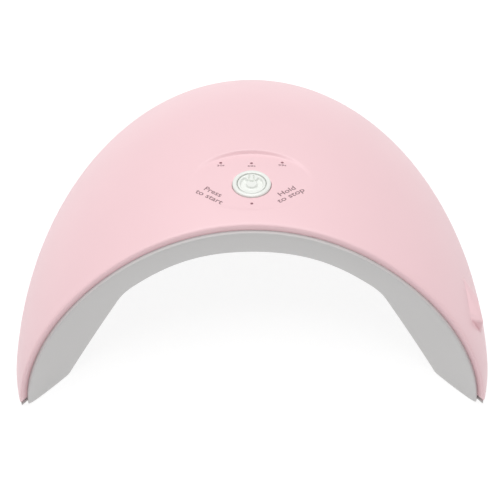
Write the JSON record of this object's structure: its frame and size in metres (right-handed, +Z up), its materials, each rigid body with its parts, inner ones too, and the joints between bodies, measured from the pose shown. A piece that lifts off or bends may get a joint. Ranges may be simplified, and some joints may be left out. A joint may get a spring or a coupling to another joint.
{
  "type": "uv led nail lamp",
  "caption": "Arch-shaped table-top nail curing lamp: domed shell over a tapered hand tunnel lined with ultraviolet lamps, with a push button in a shallow dish on top.",
  "frame": {"origin": "on the table, under the middle of the lamp's footprint", "axes": "+Z up, +X to the right of a user who faces the opening, +Y away from the user, into the tunnel"},
  "size_m": [0.2058, 0.1754, 0.0744],
  "materials": {
    "shell": "pale pink ABS, satin gloss",
    "liner": "off-white ABS, fine satin",
    "button": "pearl white, glossy",
    "indicator": "dark red clear plastic",
    "led_lens": "clear silicone lens, faint violet",
    "led_board": "white-lacquered aluminium circuit board",
    "circuit_board": "green solder mask",
    "black_plastic": "black moulding",
    "sensor_black": "dark infra-red filter",
    "connector": "natural nylon",
    "steel": "zinc plated",
    "brass": "plated contact",
    "rubber_feet": "grey silicone rubber",
    "lead_red": "red PVC insulation",
    "lead_black": "black PVC insulation"
  },
  "bodies": {
    "housing": {"top_shell": "shell", "inner_liner": "liner", "switch_body": "steel", "control_board": "circuit_board", "controller_chip": "black_plastic", "driver_chip": "black_plastic", "inductor": "black_plastic", "lead_connector_left": "connector", "lead_connector_right": "connector", "board_screw_left": "steel", "board_screw_right": "steel", "indicator_lamp_left": "led_lens", "light_pipe_left": "indicator", "indicator_lamp_middle": "led_lens", "light_pipe_middle": "indicator", "indicator_lamp_right": "led_lens", "light_pipe_right": "indicator", "indicator_lamp_sensor": "led_lens", "light_pipe_sensor": "indicator", "led_board_centre": "led_board", "led_board_shoulder_right": "led_board", "led_board_shoulder_left": "led_board", "led_board_side_right": "led_board", "led_board_side_left": "led_board", "uv_led_01": "led_lens", "uv_led_02": "led_lens", "uv_led_03": "led_lens", "uv_led_04": "led_lens", "uv_led_05": "led_lens", "uv_led_06": "led_lens", "uv_led_07": "led_lens", "uv_led_08": "led_lens", "uv_led_09": "led_lens", "uv_led_10": "led_lens", "uv_led_11": "led_lens", "uv_led_12": "led_lens", "sensor_emitter": "led_lens", "sensor_receiver": "sensor_black", "power_socket": "black_plastic", "socket_pin": "brass", "led_lead_right": "lead_red", "led_lead_left": "lead_red", "power_lead": "lead_black", "case_screw_front_right": "steel", "foot_front_right": "rubber_feet", "case_screw_front_left": "steel", "foot_front_left": "rubber_feet", "case_screw_rear_right": "steel", "foot_rear_right": "rubber_feet", "case_screw_rear_left": "steel", "foot_rear_left": "rubber_feet"},
    "button": {"button_cap": "button", "button_core": "button", "button_plunger": "black_plastic", "switch_actuator": "black_plastic"}
  },
  "joints": [
    {"name": "button_press", "type": "slide", "parent": "housing", "child": "button", "axis": [0, -0.1392, -0.9903], "range_m": [0, 0.0006], "stiffness_N_per_m": 1200, "springref_m": -0.0003}
  ]
}
